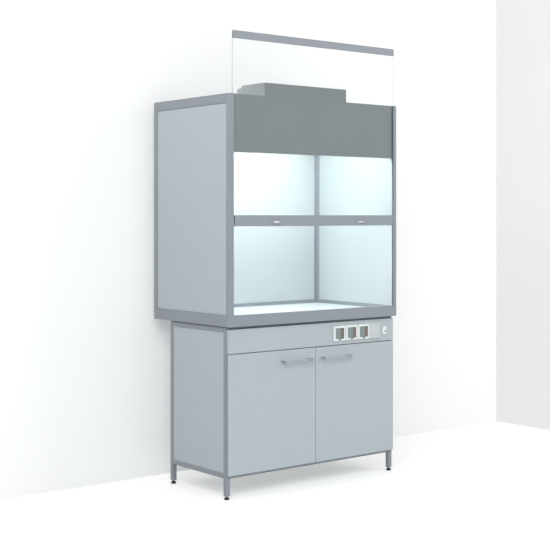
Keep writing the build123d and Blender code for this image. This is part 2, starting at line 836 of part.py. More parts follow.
# Sill rail across the front, and the other lower rails
sill_rail_part = hollow_rail(
    (-half_clear, half_clear), (front, front_post_back), rail_z["low"], 0
)
fused("sill_rail", [sill_rail_part])


def side_rails(level, shaft_level=None):
    """The left and right rails at one level, bored where the shaft crosses them."""
    rails = []
    for sx in (-1, 1):
        x = sorted((sx * half_width, sx * half_clear))
        tube = hollow_rail(x, (front_post_back, rear_post_front), rail_z[level], 1)
        if shaft_level is not None:
            with BuildPart() as bored:
                add(tube)
                wall_x = sorted((sx * half_clear, sx * (half_clear + profile_wall)))
                rod_along_x(wall_x, front_pulley_y, shaft_level, shaft_hole, mode=Mode.SUBTRACT)
            tube = bored.part
        rails.append(tube)
    return rails


across = (-half_clear, half_clear)
lower_rear = hollow_rail(across, (rear_post_front, back), rail_z["low"], 0)
fused("hood_lower_rails", side_rails("low") + [lower_rear])
upper_rear = hollow_rail(across, (rear_post_front, back), rail_z["high"], 0)
fused("hood_upper_rails", side_rails("high", high_pulley_z) + [upper_rear])

# Worktop of the chamber
with BuildPart() as worktop:
    block(
        across,
        (front_post_back, rear_post_front),
        (worktop_top - worktop_thickness, worktop_top),
    )
    fillet(worktop.edges().group_by(Axis.Z)[-1], worktop_edge_round)
worktop.part.label = "worktop"
export_step(worktop.part, "parts/worktop.step")

# Outer side panels
with BuildPart() as side_panel_left:
    panel_x = (outer + side_panel_recess, outer + side_panel_recess + board)
    block(panel_x, (front_post_back, rear_post_front), (rail_top, top_rail_bottom))
side_panel_left.part.label = "side_panel_left"
export_step(side_panel_left.part, "parts/side_panel_left.step")
mirrored("side_panel_right", side_panel_left.part)

# Inner lining of the chamber
fascia_back = shoulder + fascia_thickness
liner_x = (inner - liner_recess - liner_thickness, inner - liner_recess)
liners = []
for sx in (-1, 1):
    with BuildPart() as liner:
        block(
            sorted((sx * liner_x[0], sx * liner_x[1])),
            (fascia_back, rear_post_front),
            (rail_top, top_rail_bottom),
        )
    liners.append(liner.part)
fused("side_liners", liners)

with BuildPart() as back_liner:
    back_liner_front = rear_post_front + profile_wall
    block(across, (back_liner_front, back_liner_front + liner_thickness), strip_z)
back_liner.part.label = "back_liner"
export_step(back_liner.part, "parts/back_liner.step")

with BuildPart() as rear_cover:
    block(across, (back - rear_cover_thickness, back), strip_z)
rear_cover.part.label = "rear_cover"
export_step(rear_cover.part, "parts/rear_cover.step")

# Fascia: a folded sheet behind the sash
fascia_half = half_clear + liner_pocket
with BuildPart() as fascia:
    block((-fascia_half, fascia_half), (shoulder, fascia_back), (fascia_bottom, hood_top))
    for level in (fascia_bottom, hood_top - fascia_thickness):
        flange_y = (fascia_back, fascia_back + fascia_flange)
        block(across, flange_y, (level, level + fascia_thickness))
fascia.part.label = "fascia"
export_step(fascia.part, "parts/fascia.step")

# Roof panel with openings for the lamp and the exhaust
roof_top = hood_top - fascia_thickness
lamp_front = front + lamp_setback
lamp_back = lamp_front + lamp_depth
lamp_middle = (lamp_front + lamp_back) / 2
lamp_opening_width = lamp_width - 2 * lamp_opening_end_margin
lamp_opening_depth = lamp_depth - 2 * lamp_opening_side_margin
gear_back = lamp_back + gear_depth
spigot_shares = 2 + spigot_front_gap_share + spigot_back_gap_share
spigot_flange_radius = (rear_post_front - gear_back) / spigot_shares
spigot_radius = spigot_radius_share * spigot_flange_radius
spigot_y = gear_back + (1 + spigot_front_gap_share) * spigot_flange_radius
with BuildPart() as roof_panel:
    block(across, (fascia_back, rear_post_front), (roof_top - roof_thickness, roof_top))
    block(
        (-lamp_opening_width / 2, lamp_opening_width / 2),
        (lamp_middle - lamp_opening_depth / 2, lamp_middle + lamp_opening_depth / 2),
        (roof_top - roof_thickness, roof_top),
        mode=Mode.SUBTRACT,
    )
    duct_bore = spigot_radius - spigot_wall
    roof_z = (roof_top - roof_thickness, roof_top)
    rod_upright(0, spigot_y, roof_z, duct_bore, mode=Mode.SUBTRACT)
roof_panel.part.label = "roof_panel"
export_step(roof_panel.part, "parts/roof_panel.step")

# Lamp housing: a folded box with a lower gear box behind it and four tube holders
tube_z = roof_top + tube_level
tube_y = [lamp_front + tube_from_side, lamp_back - tube_from_side]
lamp_half = lamp_width / 2
tube_length = 2 * (lamp_half - lamp_wall - lamp_holder_depth)
with BuildPart() as lamp_housing:
    block((-lamp_half, lamp_half), (lamp_front, lamp_back), (roof_top, roof_top + lamp_height))
    gear_z = (roof_top, roof_top + gear_height)
    block((-lamp_half, lamp_half), (lamp_back, gear_back), gear_z)
    inside_x = (-lamp_half + lamp_wall, lamp_half - lamp_wall)
    block(
        inside_x,
        (lamp_front + lamp_wall, lamp_back - lamp_wall),
        (roof_top, roof_top + lamp_height - lamp_wall),
        mode=Mode.SUBTRACT,
    )
    block(
        inside_x,
        (lamp_back, gear_back - lamp_wall),
        (roof_top, roof_top + gear_height - lamp_wall),
        mode=Mode.SUBTRACT,
    )
    for y in tube_y:
        for sx in (-1, 1):
            holder_x = sorted((sx * tube_length / 2, sx * (lamp_half - lamp_wall)))
            holder_y = (y - lamp_holder_size / 2, y + lamp_holder_size / 2)
            holder_z = (tube_z - lamp_holder_size / 2, roof_top + lamp_height - lamp_wall)
            block(holder_x, holder_y, holder_z)
lamp_housing.part.label = "lamp_housing"
export_step(lamp_housing.part, "parts/lamp_housing.step")

tubes = []
for y in tube_y:
    with BuildPart() as lamp_tube:
        rod_along_x((-tube_length / 2, tube_length / 2), y, tube_z, tube_radius)
        for sx in (-1, 1):
            cap = sorted((sx * tube_length / 2, sx * (tube_length / 2 - tube_cap_length)))
            rod_along_x(cap, y, tube_z, tube_cap_radius)
    tubes.append(lamp_tube.part)
fused("lamp_tubes", tubes)

with BuildPart() as lamp_window:
    window_half_x = lamp_opening_width / 2 + lamp_glass_overlap
    window_half_y = lamp_opening_depth / 2 + lamp_glass_overlap
    block(
        (-window_half_x, window_half_x),
        (lamp_middle - window_half_y, lamp_middle + window_half_y),
        (roof_top, roof_top + lamp_glass_thickness),
    )
lamp_window.part.label = "lamp_window"
export_step(lamp_window.part, "parts/lamp_window.step")

# Exhaust spigot
with BuildPart() as exhaust_spigot:
    flange_top = roof_top + spigot_flange_thickness
    rod_upright(0, spigot_y, (roof_top, flange_top), spigot_flange_radius)
    rod_upright(0, spigot_y, (roof_top, flange_top + spigot_height), spigot_radius)
    bore_z = (roof_top, flange_top + spigot_height)
    rod_upright(0, spigot_y, bore_z, duct_bore, mode=Mode.SUBTRACT)
exhaust_spigot.part.label = "exhaust_spigot"
export_step(exhaust_spigot.part, "parts/exhaust_spigot.step")

# Sash glass, seated in both rails
glass_bottom = sash_bottom + sash_glass_seat
glass_top = sash_top - sash_top_rail_cover
glass_half = half_width - sash_glass_side_inset
glass_y = (groove_middle - sash_glass / 2, groove_middle + sash_glass / 2)
with BuildPart() as sash_pane:
    block((-glass_half, glass_half), glass_y, (glass_bottom, glass_top))
sash_pane.part.label = "sash_glass"
export_step(sash_pane.part, "parts/sash_glass.step")

# Sash lower rail with a belt clamp at each end
lower_half = half_width - sash_lower_rail_side_inset
lower_y = (
    groove_middle - sash_lower_rail_thickness / 2,
    groove_middle + sash_lower_rail_thickness / 2,
)
belt_slot_y = (
    groove_middle - belt_thickness / 2 - belt_slot_gap,
    groove_middle + belt_thickness / 2 + belt_slot_gap,
)
clamp_end = half_width - belt_side_inset
clamp_root = half_width - belt_side_inset - belt_width - belt_slot_gap
lug_root = lower_half - sash_rail_wall / 2
with BuildPart() as sash_lower_rail:
    block((-lower_half, lower_half), lower_y, (sash_bottom, sash_rail_top))
    fillet(sash_lower_rail.edges().filter_by(Axis.X), sash_rail_edge_round)
    block((-lower_half, lower_half), glass_y, (glass_bottom, sash_rail_top), mode=Mode.SUBTRACT)
    block(
        (-lower_half, lower_half),
        (lower_y[0] + sash_rail_wall, lower_y[1] - sash_rail_wall),
        (sash_bottom + sash_rail_wall, glass_bottom - sash_rail_wall),
        mode=Mode.SUBTRACT,
    )
    for sx in (-1, 1):
        lug_y = (groove_middle - sash_lug_thickness / 2, groove_middle + sash_lug_thickness / 2)
        lug_z = (sash_bottom, sash_bottom + sash_lug_height)
        block(sorted((sx * lug_root, sx * clamp_end)), lug_y, lug_z)
        slot_x = sorted((sx * clamp_root, sx * clamp_end))
        block(slot_x, belt_slot_y, lug_z, mode=Mode.SUBTRACT)
sash_lower_rail.part.label = "sash_lower_rail"
export_step(sash_lower_rail.part, "parts/sash_lower_rail.step")

# Sash top rail
top_half = half_width - sash_top_rail_side_inset
with BuildPart() as sash_top_rail:
    top_y = (
        groove_middle - sash_top_rail_thickness / 2,
        groove_middle + sash_top_rail_thickness / 2,
    )
    block((-top_half, top_half), top_y, (sash_top_rail_bottom, sash_top))
    fillet(sash_top_rail.edges().filter_by(Axis.X), sash_rail_edge_round)
    glass_slot_z = (sash_top_rail_bottom, glass_top)
    block((-top_half, top_half), glass_y, glass_slot_z, mode=Mode.SUBTRACT)
sash_top_rail.part.label = "sash_top_rail"
export_step(sash_top_rail.part, "parts/sash_top_rail.step")

# Sash pulls: a short bar on two feet
pull_y = lower_y[0] - pull_standoff - pull_radius
pull_z = sash_bottom + pull_level_on_rail
pulls = []
for sx in (-1, 1):
    pull_x = sx * pull_from_centre
    with BuildPart() as pull:
        pull_ends = (pull_x - pull_length / 2, pull_x + pull_length / 2)
        rod_along_x(pull_ends, pull_y, pull_z, pull_radius)
        fillet(pull.edges().filter_by(GeomType.CIRCLE), pull_end_round)
        for foot_x in (pull_x - pull_length / 4, pull_x + pull_length / 4):
            rod_along_y(foot_x, (pull_y, lower_y[0]), pull_z, pull_foot_radius)
    pulls.append(pull.part)
fused("sash_pulls", pulls)

# Belts: one closed loop inside each side frame
belt_front = groove_middle - belt_thickness / 2
belt_back = weight_middle + belt_thickness / 2
belt_low = low_pulley_z - belt_radius - belt_thickness
belt_high = high_pulley_z + belt_radius + belt_thickness
belts = []
for sx in (-1, 1):
    belt_inner_x = half_width - belt_side_inset - belt_width
    start = belt_inner_x if sx > 0 else -half_width + belt_side_inset
    with BuildPart() as belt:
        with BuildSketch(Plane.YZ.offset(start)):
            with Locations(((belt_front + belt_back) / 2, (belt_low + belt_high) / 2)):
                loop_y = belt_back - belt_front
                loop_z = belt_high - belt_low
                RectangleRounded(loop_y, loop_z, belt_radius + belt_thickness)
                RectangleRounded(
                    loop_y - 2 * belt_thickness,
                    loop_z - 2 * belt_thickness,
                    belt_radius,
                    mode=Mode.SUBTRACT,
                )
        extrude(amount=belt_width)
    belts.append(belt.part)
fused("sash_belts", belts)


def pulley(side, y, z, bore):
    """A flanged pulley under one belt."""
    near = half_width - pulley_side_inset
    faces = sorted((side * near, side * (near - pulley_width)))
    first_rim = (faces[0], faces[0] + pulley_flange_thickness)
    second_rim = (faces[1] - pulley_flange_thickness, faces[1])
    with BuildPart() as wheel:
        rod_along_x(faces, y, z, pulley_radius)
        rod_along_x(first_rim, y, z, pulley_flange_radius)
        rod_along_x(second_rim, y, z, pulley_flange_radius)
        rod_along_x(faces, y, z, bore, mode=Mode.SUBTRACT)
    return wheel.part


# Synchronising shaft with its two pulleys, and the idlers
shaft_end = half_width - profile_wall - shaft_end_gap
shaft_pulleys = [
    pulley(side, front_pulley_y, high_pulley_z, sync_shaft_radius) for side in (-1, 1)
]
with BuildPart() as sync_shaft:
    rod_along_x((-shaft_end, shaft_end), front_pulley_y, high_pulley_z, sync_shaft_radius)
    for wheel in shaft_pulleys:
        add(wheel)
sync_shaft.part.label = "sync_shaft"
export_step(sync_shaft.part, "parts/sync_shaft.step")

idler_places = {
    "idlers_front_low": (front_pulley_y, low_pulley_z),
    "idlers_rear_low": (rear_pulley_y, low_pulley_z),
    "idlers_rear_high": (rear_pulley_y, high_pulley_z),
}
idler_bore = idler_axle_radius + bearing_clearance
for name, (y, z) in idler_places.items():
    fused(name, [pulley(side, y, z, idler_bore) for side in (-1, 1)])

# Bearing blocks against the outer walls of the side frames, and the idlers' axles
bearing_outer = half_width - profile_wall
bearing_inner = bearing_outer - bearing_depth
blocks = []
axles = []
stations = list(idler_places.values()) + [(front_pulley_y, high_pulley_z)]
for side in (-1, 1):
    for y, z in stations:
        is_shaft = (y, z) == stations[-1]
        bore = sync_shaft_radius + bearing_clearance if is_shaft else idler_axle_radius
        with BuildPart() as bearing:
            half_block = bearing_size / 2
            block_x = sorted((side * bearing_outer, side * bearing_inner))
            block(block_x, (y - half_block, y + half_block), (z - half_block, z + half_block))
            rod_along_x(block_x, y, z, bore, mode=Mode.SUBTRACT)
        blocks.append(bearing.part)
        if not is_shaft:
            with BuildPart() as axle:
                axle_inner = half_width - pulley_side_inset - pulley_width
                axle_x = sorted((side * bearing_outer, side * axle_inner))
                rod_along_x(axle_x, y, z, idler_axle_radius)
            axles.append(axle.part)
fused("bearing_blocks", blocks)
fused("idler_axles", axles)

# Counterweight plate with a belt clamp at each end
weight_bottom = rail_top + weight_above_lower_rail
weight_top = weight_bottom + weight_height
weight_half = half_clear - weight_side_gap
weight_y = (weight_middle - weight_thickness / 2, weight_middle + weight_thickness / 2)
weight_slot_y = (
    weight_middle - belt_thickness / 2 - belt_slot_gap,
    weight_middle + belt_thickness / 2 + belt_slot_gap,
)
with BuildPart() as counterweight:
    block((-weight_half, weight_half), weight_y, (weight_bottom, weight_top))
    lug_middle = (weight_bottom + weight_top) / 2
    lug_z = (lug_middle - weight_lug_height / 2, lug_middle + weight_lug_height / 2)
    for sx in (-1, 1):
        block(sorted((sx * weight_half, sx * clamp_end)), weight_y, lug_z)
        slot_x = sorted((sx * clamp_root, sx * clamp_end))
        block(slot_x, weight_slot_y, lug_z, mode=Mode.SUBTRACT)
counterweight.part.label = "counterweight"
export_step(counterweight.part, "parts/counterweight.step")
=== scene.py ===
import json
import math
from functools import partial

import bmesh
import bpy
from mathutils import Matrix, Vector


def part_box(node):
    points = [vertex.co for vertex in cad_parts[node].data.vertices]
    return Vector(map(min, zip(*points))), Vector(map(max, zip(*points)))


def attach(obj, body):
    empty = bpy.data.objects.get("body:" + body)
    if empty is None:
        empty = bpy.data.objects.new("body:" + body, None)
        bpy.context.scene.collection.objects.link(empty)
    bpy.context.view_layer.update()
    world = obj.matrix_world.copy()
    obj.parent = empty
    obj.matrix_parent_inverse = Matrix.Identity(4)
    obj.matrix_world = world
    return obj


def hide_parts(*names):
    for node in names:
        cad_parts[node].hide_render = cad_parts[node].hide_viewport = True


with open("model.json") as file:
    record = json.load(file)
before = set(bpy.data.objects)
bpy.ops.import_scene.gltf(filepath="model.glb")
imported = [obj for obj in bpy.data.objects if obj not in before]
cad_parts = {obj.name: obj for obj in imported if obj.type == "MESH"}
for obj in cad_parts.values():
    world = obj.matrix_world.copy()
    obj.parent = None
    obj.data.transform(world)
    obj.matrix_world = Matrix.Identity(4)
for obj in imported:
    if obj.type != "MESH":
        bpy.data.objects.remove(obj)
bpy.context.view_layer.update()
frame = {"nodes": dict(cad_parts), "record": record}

# Fume hood: the finish of every surface, the small parts that the solids leave out, the
# studio and the camera. Lengths are in metres, and MM turns millimetres into them.

MM = 0.001
NODE_SLOT = {row["node"]: row["material_slot"] for row in frame["record"]["subparts"]}
BODY_OF_NODE = {
    node: body
    for body, nodes in frame["record"]["behaviour"]["bodies"].items()
    for node in nodes
}


# Colours and shader helpers


def linear(hex_colour):
    """A colour written as six hex digits, as linear RGBA."""
    channels = [int(hex_colour[i:i + 2], 16) / 255 for i in (0, 2, 4)]
    values = [c / 12.92 if c <= 0.04045 else ((c + 0.055) / 1.055) ** 2.4 for c in channels]
    return (*values, 1.0)


def scaled(colour, factor):
    """The same colour, lighter or darker."""
    return (*(min(1.0, c * factor) for c in colour[:3]), 1.0)


def shader(name):
    """A new material with its Principled shader: (material, tree, principled)."""
    material = bpy.data.materials.new(name)
    material.use_nodes = True
    tree = material.node_tree
    return material, tree, tree.nodes["Principled BSDF"]


def object_coordinates(tree, stretch=(1.0, 1.0, 1.0)):
    """Coordinates in metres, stretched along the axes."""
    coordinates = tree.nodes.new("ShaderNodeTexCoord")
    mapping = tree.nodes.new("ShaderNodeMapping")
    mapping.inputs["Scale"].default_value = stretch
    tree.links.new(coordinates.outputs["Object"], mapping.inputs["Vector"])
    return mapping.outputs["Vector"]


def noise(tree, vector, scale, detail=2.0, roughness=0.5):
    """A noise value with features of about one over the scale, in metres."""
    node = tree.nodes.new("ShaderNodeTexNoise")
    node.inputs["Scale"].default_value = scale
    node.inputs["Detail"].default_value = detail
    node.inputs["Roughness"].default_value = roughness
    tree.links.new(vector, node.inputs["Vector"])
    return node.outputs["Fac"]


def between(tree, value, low, high, start=0.3, end=0.7):
    """A value spread over a new range."""
    node = tree.nodes.new("ShaderNodeMapRange")
    node.inputs["From Min"].default_value = start
    node.inputs["From Max"].default_value = end
    node.inputs["To Min"].default_value = low
    node.inputs["To Max"].default_value = high
    tree.links.new(value, node.inputs["Value"])
    return node.outputs["Result"]


def two_tone(tree, value, first, second, start=0.35, end=0.65):
    """A colour that goes from one tone to the other with a value."""
    node = tree.nodes.new("ShaderNodeValToRGB")
    node.color_ramp.elements[0].position = start
    node.color_ramp.elements[0].color = first
    node.color_ramp.elements[1].position = end
    node.color_ramp.elements[1].color = second
    tree.links.new(value, node.inputs["Fac"])
    return node.outputs["Color"]


def vary_colour(tree, principled, value, colour, darker, lighter, start=0.35, end=0.65):
    """A base colour that goes from a darker to a lighter tone with a value."""
    tone = two_tone(tree, value, scaled(colour, darker), scaled(colour, lighter), start, end)
    tree.links.new(tone, principled.inputs["Base Color"])


def vary_roughness(tree, principled, value, low, high, start=0.3, end=0.7):
    """A roughness that goes over a range with a value."""
    rough = between(tree, value, low, high, start, end)
    tree.links.new(rough, principled.inputs["Roughness"])


def bump(tree, principled, height, distance, strength):
    """Small surface relief from a height value, in metres."""
    node = tree.nodes.new("ShaderNodeBump")
    node.inputs["Distance"].default_value = distance
    node.inputs["Strength"].default_value = strength
    tree.links.new(height, node.inputs["Height"])
    tree.links.new(node.outputs["Normal"], principled.inputs["Normal"])


def ray_is(tree, *kinds):
    """A value of 1 for a ray of any of the kinds named, and otherwise 0."""
    path = tree.nodes.new("ShaderNodeLightPath")
    value = path.outputs[kinds[0]]
    for kind in kinds[1:]:
        either = tree.nodes.new("ShaderNodeMath")
        either.operation = "MAXIMUM"
        tree.links.new(value, either.inputs[0])
        tree.links.new(path.outputs[kind], either.inputs[1])
        value = either.outputs["Value"]
    return value


def mixed(tree, share, first, second):
    """Two shaders in one, where a share of 1 is the second."""
    mix = tree.nodes.new("ShaderNodeMixShader")
    tree.links.new(share, mix.inputs["Fac"])
    tree.links.new(first, mix.inputs[1])
    tree.links.new(second, mix.inputs[2])
    return mix.outputs["Shader"]


# Materials


def powder_coat(name, hex_colour, roughness=0.46):
    """Sprayed and baked paint: an even tone with a fine orange-peel surface."""
    material, tree, principled = shader(name)
    place = object_coordinates(tree)
    cloud = noise(tree, place, scale=5.0, detail=3.0)
    vary_colour(tree, principled, cloud, linear(hex_colour), darker=0.985, lighter=1.012)
    patch = noise(tree, place, scale=60.0)
    vary_roughness(tree, principled, patch, roughness - 0.04, roughness + 0.05)
    peel = noise(tree, place, scale=620.0, detail=2.5, roughness=0.55)
    bump(tree, principled, peel, distance=0.03 * MM, strength=0.4)
    principled.inputs["Specular IOR Level"].default_value = 0.42
    return material


def faced_board(name, hex_colour):
    """Melamine facing on board: a matt pearl grain and a faint mottling of tone."""
    material, tree, principled = shader(name)
    place = object_coordinates(tree)
    mottle = noise(tree, place, scale=9.0, detail=4.0)
    vary_colour(tree, principled, mottle, linear(hex_colour), darker=0.992, lighter=1.006)
    pearl = tree.nodes.new("ShaderNodeTexVoronoi")
    pearl.inputs["Scale"].default_value = 900.0
    tree.links.new(place, pearl.inputs["Vector"])
    bump(tree, principled, pearl.outputs["Distance"], distance=0.02 * MM, strength=0.3)
    vary_roughness(tree, principled, noise(tree, place, scale=150.0), low=0.5, high=0.6)
    principled.inputs["Specular IOR Level"].default_value = 0.35
    return material


def resin(name, hex_colour, roughness, speckle):
    """Solid resin or laminate: fine speckles under an even, wiped surface."""
    material, tree, principled = shader(name)
    grains = noise(tree, object_coordinates(tree), scale=700.0, detail=1.0, roughness=0.4)
    vary_colour(
        tree, principled, grains, linear(hex_colour),
        darker=1.0 - speckle, lighter=1.0, start=0.3, end=0.42,
    )
    across = object_coordinates(tree, stretch=(2.0, 14.0, 2.0))
    wiped = noise(tree, across, scale=4.0, detail=3.0)
    vary_roughness(tree, principled, wiped, roughness - 0.05, roughness + 0.07)
    bump(tree, principled, grains, distance=0.02 * MM, strength=0.3)
    return material


def moulded(name, hex_colour, roughness, grain=0.02 * MM, coat=0.0, transmission=0.0):
    """Moulded plastic: a soft spark-eroded grain, with some gloss."""
    material, tree, principled = shader(name)
    place = object_coordinates(tree)
    mottle = noise(tree, place, scale=120.0, detail=3.0)
    vary_colour(tree, principled, mottle, linear(hex_colour), darker=0.97, lighter=1.02)
    vary_roughness(tree, principled, mottle, roughness - 0.03, roughness + 0.04)
    bump(tree, principled, noise(tree, place, scale=2400.0), distance=grain, strength=0.4)
    principled.inputs["Coat Weight"].default_value = coat
    principled.inputs["Coat Roughness"].default_value = 0.08
    principled.inputs["Transmission Weight"].default_value = transmission
    return material


def smoked_lid(name, hex_colour, edge_colour):
    """Smoked plastic: a grey-blue window whose tint turns brown towards its right edge."""
    material, tree, principled = shader(name)
    coordinates = tree.nodes.new("ShaderNodeTexCoord")
    split = tree.nodes.new("ShaderNodeSeparateXYZ")
    tree.links.new(coordinates.outputs["Generated"], split.inputs["Vector"])
    tint = two_tone(
        tree, split.outputs["X"], linear(hex_colour), linear(edge_colour), start=0.45, end=0.95
    )
    tree.links.new(tint, principled.inputs["Base Color"])
    handled = noise(tree, object_coordinates(tree), scale=90.0, detail=4.0)
    vary_roughness(tree, principled, handled, low=0.1, high=0.2)
    bump(tree, principled, handled, distance=0.01 * MM, strength=0.3)
    principled.inputs["Transmission Weight"].default_value = 0.25
    principled.inputs["Coat Weight"].default_value = 0.3
    principled.inputs["Coat Roughness"].default_value = 0.08
    return material


def metal(name, hex_colour, roughness, scale, stretch=(1.0, 1.0, 1.0)):
    """Bare metal, with polishing or drawing marks stretched along its length."""
    material, tree, principled = shader(name)
    marks = noise(tree, object_coordinates(tree, stretch), scale, detail=3.0)
    vary_colour(tree, principled, marks, linear(hex_colour), darker=0.94, lighter=1.04)
    vary_roughness(tree, principled, marks, roughness * 0.75, roughness * 1.35)
    bump(tree, principled, marks, distance=0.01 * MM, strength=0.35)
    principled.inputs["Metallic"].default_value = 1.0
    return material


def rubber(name, hex_colour):
    """Dull black rubber with a dusty grain."""
    material, tree, principled = shader(name)
    dust = noise(tree, object_coordinates(tree), scale=260.0, detail=4.0)
    vary_colour(
        tree, principled, dust, linear(hex_colour), darker=1.0, lighter=1.6, start=0.45, end=0.8
    )
    vary_roughness(tree, principled, dust, low=0.68, high=0.85)
    bump(tree, principled, dust, distance=0.05 * MM, strength=0.5)
    return material


def clear_glass(name, hex_colour):
    """Laminated glass that takes some of the lamps' light, with faint wipe marks."""
    material, tree, principled = shader(name)
    principled.inputs["Base Color"].default_value = linear(hex_colour)
    principled.inputs["Transmission Weight"].default_value = 1.0
    principled.inputs["IOR"].default_value = 1.3
    upright = object_coordinates(tree, stretch=(1.0, 1.0, 5.0))
    smear = noise(tree, upright, scale=6.0, detail=4.0)
    vary_roughness(tree, principled, smear, low=0.0, high=0.015, start=0.5, end=0.8)
    dimmed = tree.nodes.new("ShaderNodeBsdfTransparent")
    dimmed.inputs["Color"].default_value = (0.64, 0.65, 0.65, 1.0)
    lighting = ray_is(tree, "Is Shadow Ray", "Is Diffuse Ray")
    surface = mixed(tree, lighting, principled.outputs["BSDF"], dimmed.outputs["BSDF"])
    tree.links.new(surface, tree.nodes["Material Output"].inputs["Surface"])
    return material


def glowing_glass(name, hex_colour, strength, dim_length=50 * MM, dim_share=0.3):
    """A lit fluorescent tube: white phosphor behind glass, dimmer towards its ends."""
    material, tree, principled = shader(name)
    colour = linear(hex_colour)
    principled.inputs["Base Color"].default_value = colour
    principled.inputs["Roughness"].default_value = 0.12
    principled.inputs["Emission Color"].default_value = colour
    split = tree.nodes.new("ShaderNodeSeparateXYZ")
    tree.links.new(object_coordinates(tree), split.inputs["Vector"])
    from_middle = tree.nodes.new("ShaderNodeMath")
    from_middle.operation = "ABSOLUTE"
    tree.links.new(split.outputs["X"], from_middle.inputs[0])
    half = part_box("lamp_tubes")[1].x
    glow = between(
        tree, from_middle.outputs["Value"], strength, strength * dim_share,
        start=half - dim_length, end=half,
    )
    tree.links.new(glow, principled.inputs["Emission Strength"])
    return material


MATERIALS = {
    "frame_paint": powder_coat("frame_paint", "90979e"),
    "base_paint": powder_coat("base_paint", "8f969d"),
    "sheet_paint": powder_coat("sheet_paint", "b4bbbf", roughness=0.5),
    "rear_sheet": powder_coat("rear_sheet", "a9b0b5", roughness=0.5),
    "board": faced_board("board", "b5bec3"),
    "liner": resin("liner", "bcc5c6", roughness=0.42, speckle=0.012),
    "worktop": resin("worktop", "d5dcdd", roughness=0.34, speckle=0.03),
    "glass": clear_glass("glass", "fdfffe"),
    "sash_rail": powder_coat("sash_rail", "949aa1", roughness=0.42),
    "chrome": metal("chrome", "e4e6e8", roughness=0.09, scale=300.0, stretch=(1.0, 8.0, 8.0)),
    "handle": metal("handle", "b9bfc5", roughness=0.3, scale=1400.0, stretch=(0.2, 6.0, 6.0)),
    "foot": moulded("foot", "1b1d1f", roughness=0.5, grain=0.04 * MM),
    "pad": rubber("pad", "222426"),
    "white_plastic": moulded("white_plastic", "eef1f2", roughness=0.3),
    "lid": smoked_lid("lid", "98a6aa", "7d6a5b"),
    "cover": moulded("cover", "c9ced2", roughness=0.22, grain=0.008 * MM, coat=0.4),
    "lever": moulded("lever", "232629", roughness=0.38),
    "lens": moulded(
        "lens", "1f9a4c", roughness=0.1, grain=0.005 * MM, coat=0.5, transmission=0.35
    ),
    "steel": metal("steel", "a9adb0", roughness=0.34, scale=700.0, stretch=(0.4, 3.0, 3.0)),
    "bearing": moulded("bearing", "d6d8d4", roughness=0.5),
    "belt": rubber("belt", "202224"),
    "tube": glowing_glass("tube", "f7fbfb", strength=2.2),
    "spigot": powder_coat("spigot", "a9b0b5", roughness=0.5),
    "brass": metal("brass", "b99a58", roughness=0.28, scale=500.0),
    "glass_edge": moulded(
        "glass_edge", "b9c2c0", roughness=0.3, grain=0.01 * MM, transmission=0.3
    ),
}

for node_name, node_object in frame["nodes"].items():
    node_object.data.materials.clear()
    node_object.data.materials.append(MATERIALS[NODE_SLOT[node_name]])


# Mesh helpers

SMOOTH_ANGLE = 35.0
CREASE_ANGLE = 40.0
FLAT_ANGLE = 0.5
WELD_DISTANCE = 1e-6
EDGE_SEGMENTS = 2


def piece(name, fill, body, materials, smooth_angle=SMOOTH_ANGLE):
    """A new piece from a bmesh that a function fills; an angle of 0 keeps flat faces."""
    work = bmesh.new()
    fill(work)
    bmesh.ops.recalc_face_normals(work, faces=work.faces)
    mesh = bpy.data.meshes.new(name)
    work.to_mesh(mesh)
    work.free()
    made = bpy.data.objects.new(name, mesh)
    bpy.context.scene.collection.objects.link(made)
    for material in materials:
        mesh.materials.append(MATERIALS[material])
    if smooth_angle:
        mesh.shade_smooth()
        mesh.set_sharp_from_angle(angle=math.radians(smooth_angle))
        even = made.modifiers.new("even", "WEIGHTED_NORMAL")
        even.keep_sharp = True
    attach(made, body)
    return made


def turned(work, profile, centre, axis, steps=40, material=0):
    """Adds a turned shape: (radius, height) points, spun about an axis through a centre."""
    spin = Vector(axis).normalized()
    side = spin.orthogonal().normalized()
    middle = Vector(centre)
    rings = []
    for radius, height in profile:
        foot = middle + spin * height
        if radius == 0:
            rings.append([work.verts.new(foot)])
            continue
        ring = []
        for step in range(steps):
            turn = Matrix.Rotation(2 * math.pi * step / steps, 3, spin)
            ring.append(work.verts.new(foot + turn @ (side * radius)))
        rings.append(ring)
    for lower, upper in zip(rings, rings[1:]):
        for step in range(steps):
            after = (step + 1) % steps
            corners = [lower[step % len(lower)], lower[after % len(lower)]]
            corners += [upper[after % len(upper)], upper[step % len(upper)]]
            unique = list(dict.fromkeys(corners))
            if len(unique) > 2:
                work.faces.new(unique).material_index = material


def slab(work, low, high, edge):
    """Adds a block with rounded edges between two corners."""
    made = bmesh.ops.create_cube(work, size=1.0)
    low, high = Vector(low), Vector(high)
    for vertex in made["verts"]:
        share = vertex.co + Vector((0.5, 0.5, 0.5))
        vertex.co = Vector(a + (b - a) * s for a, b, s in zip(low, high, share))
    edges = list(dict.fromkeys(e for v in made["verts"] for e in v.link_edges))
    bmesh.ops.bevel(
        work, geom=edges, offset=edge, segments=EDGE_SEGMENTS, profile=0.5, affect="EDGES",
        clamp_overlap=True,
    )


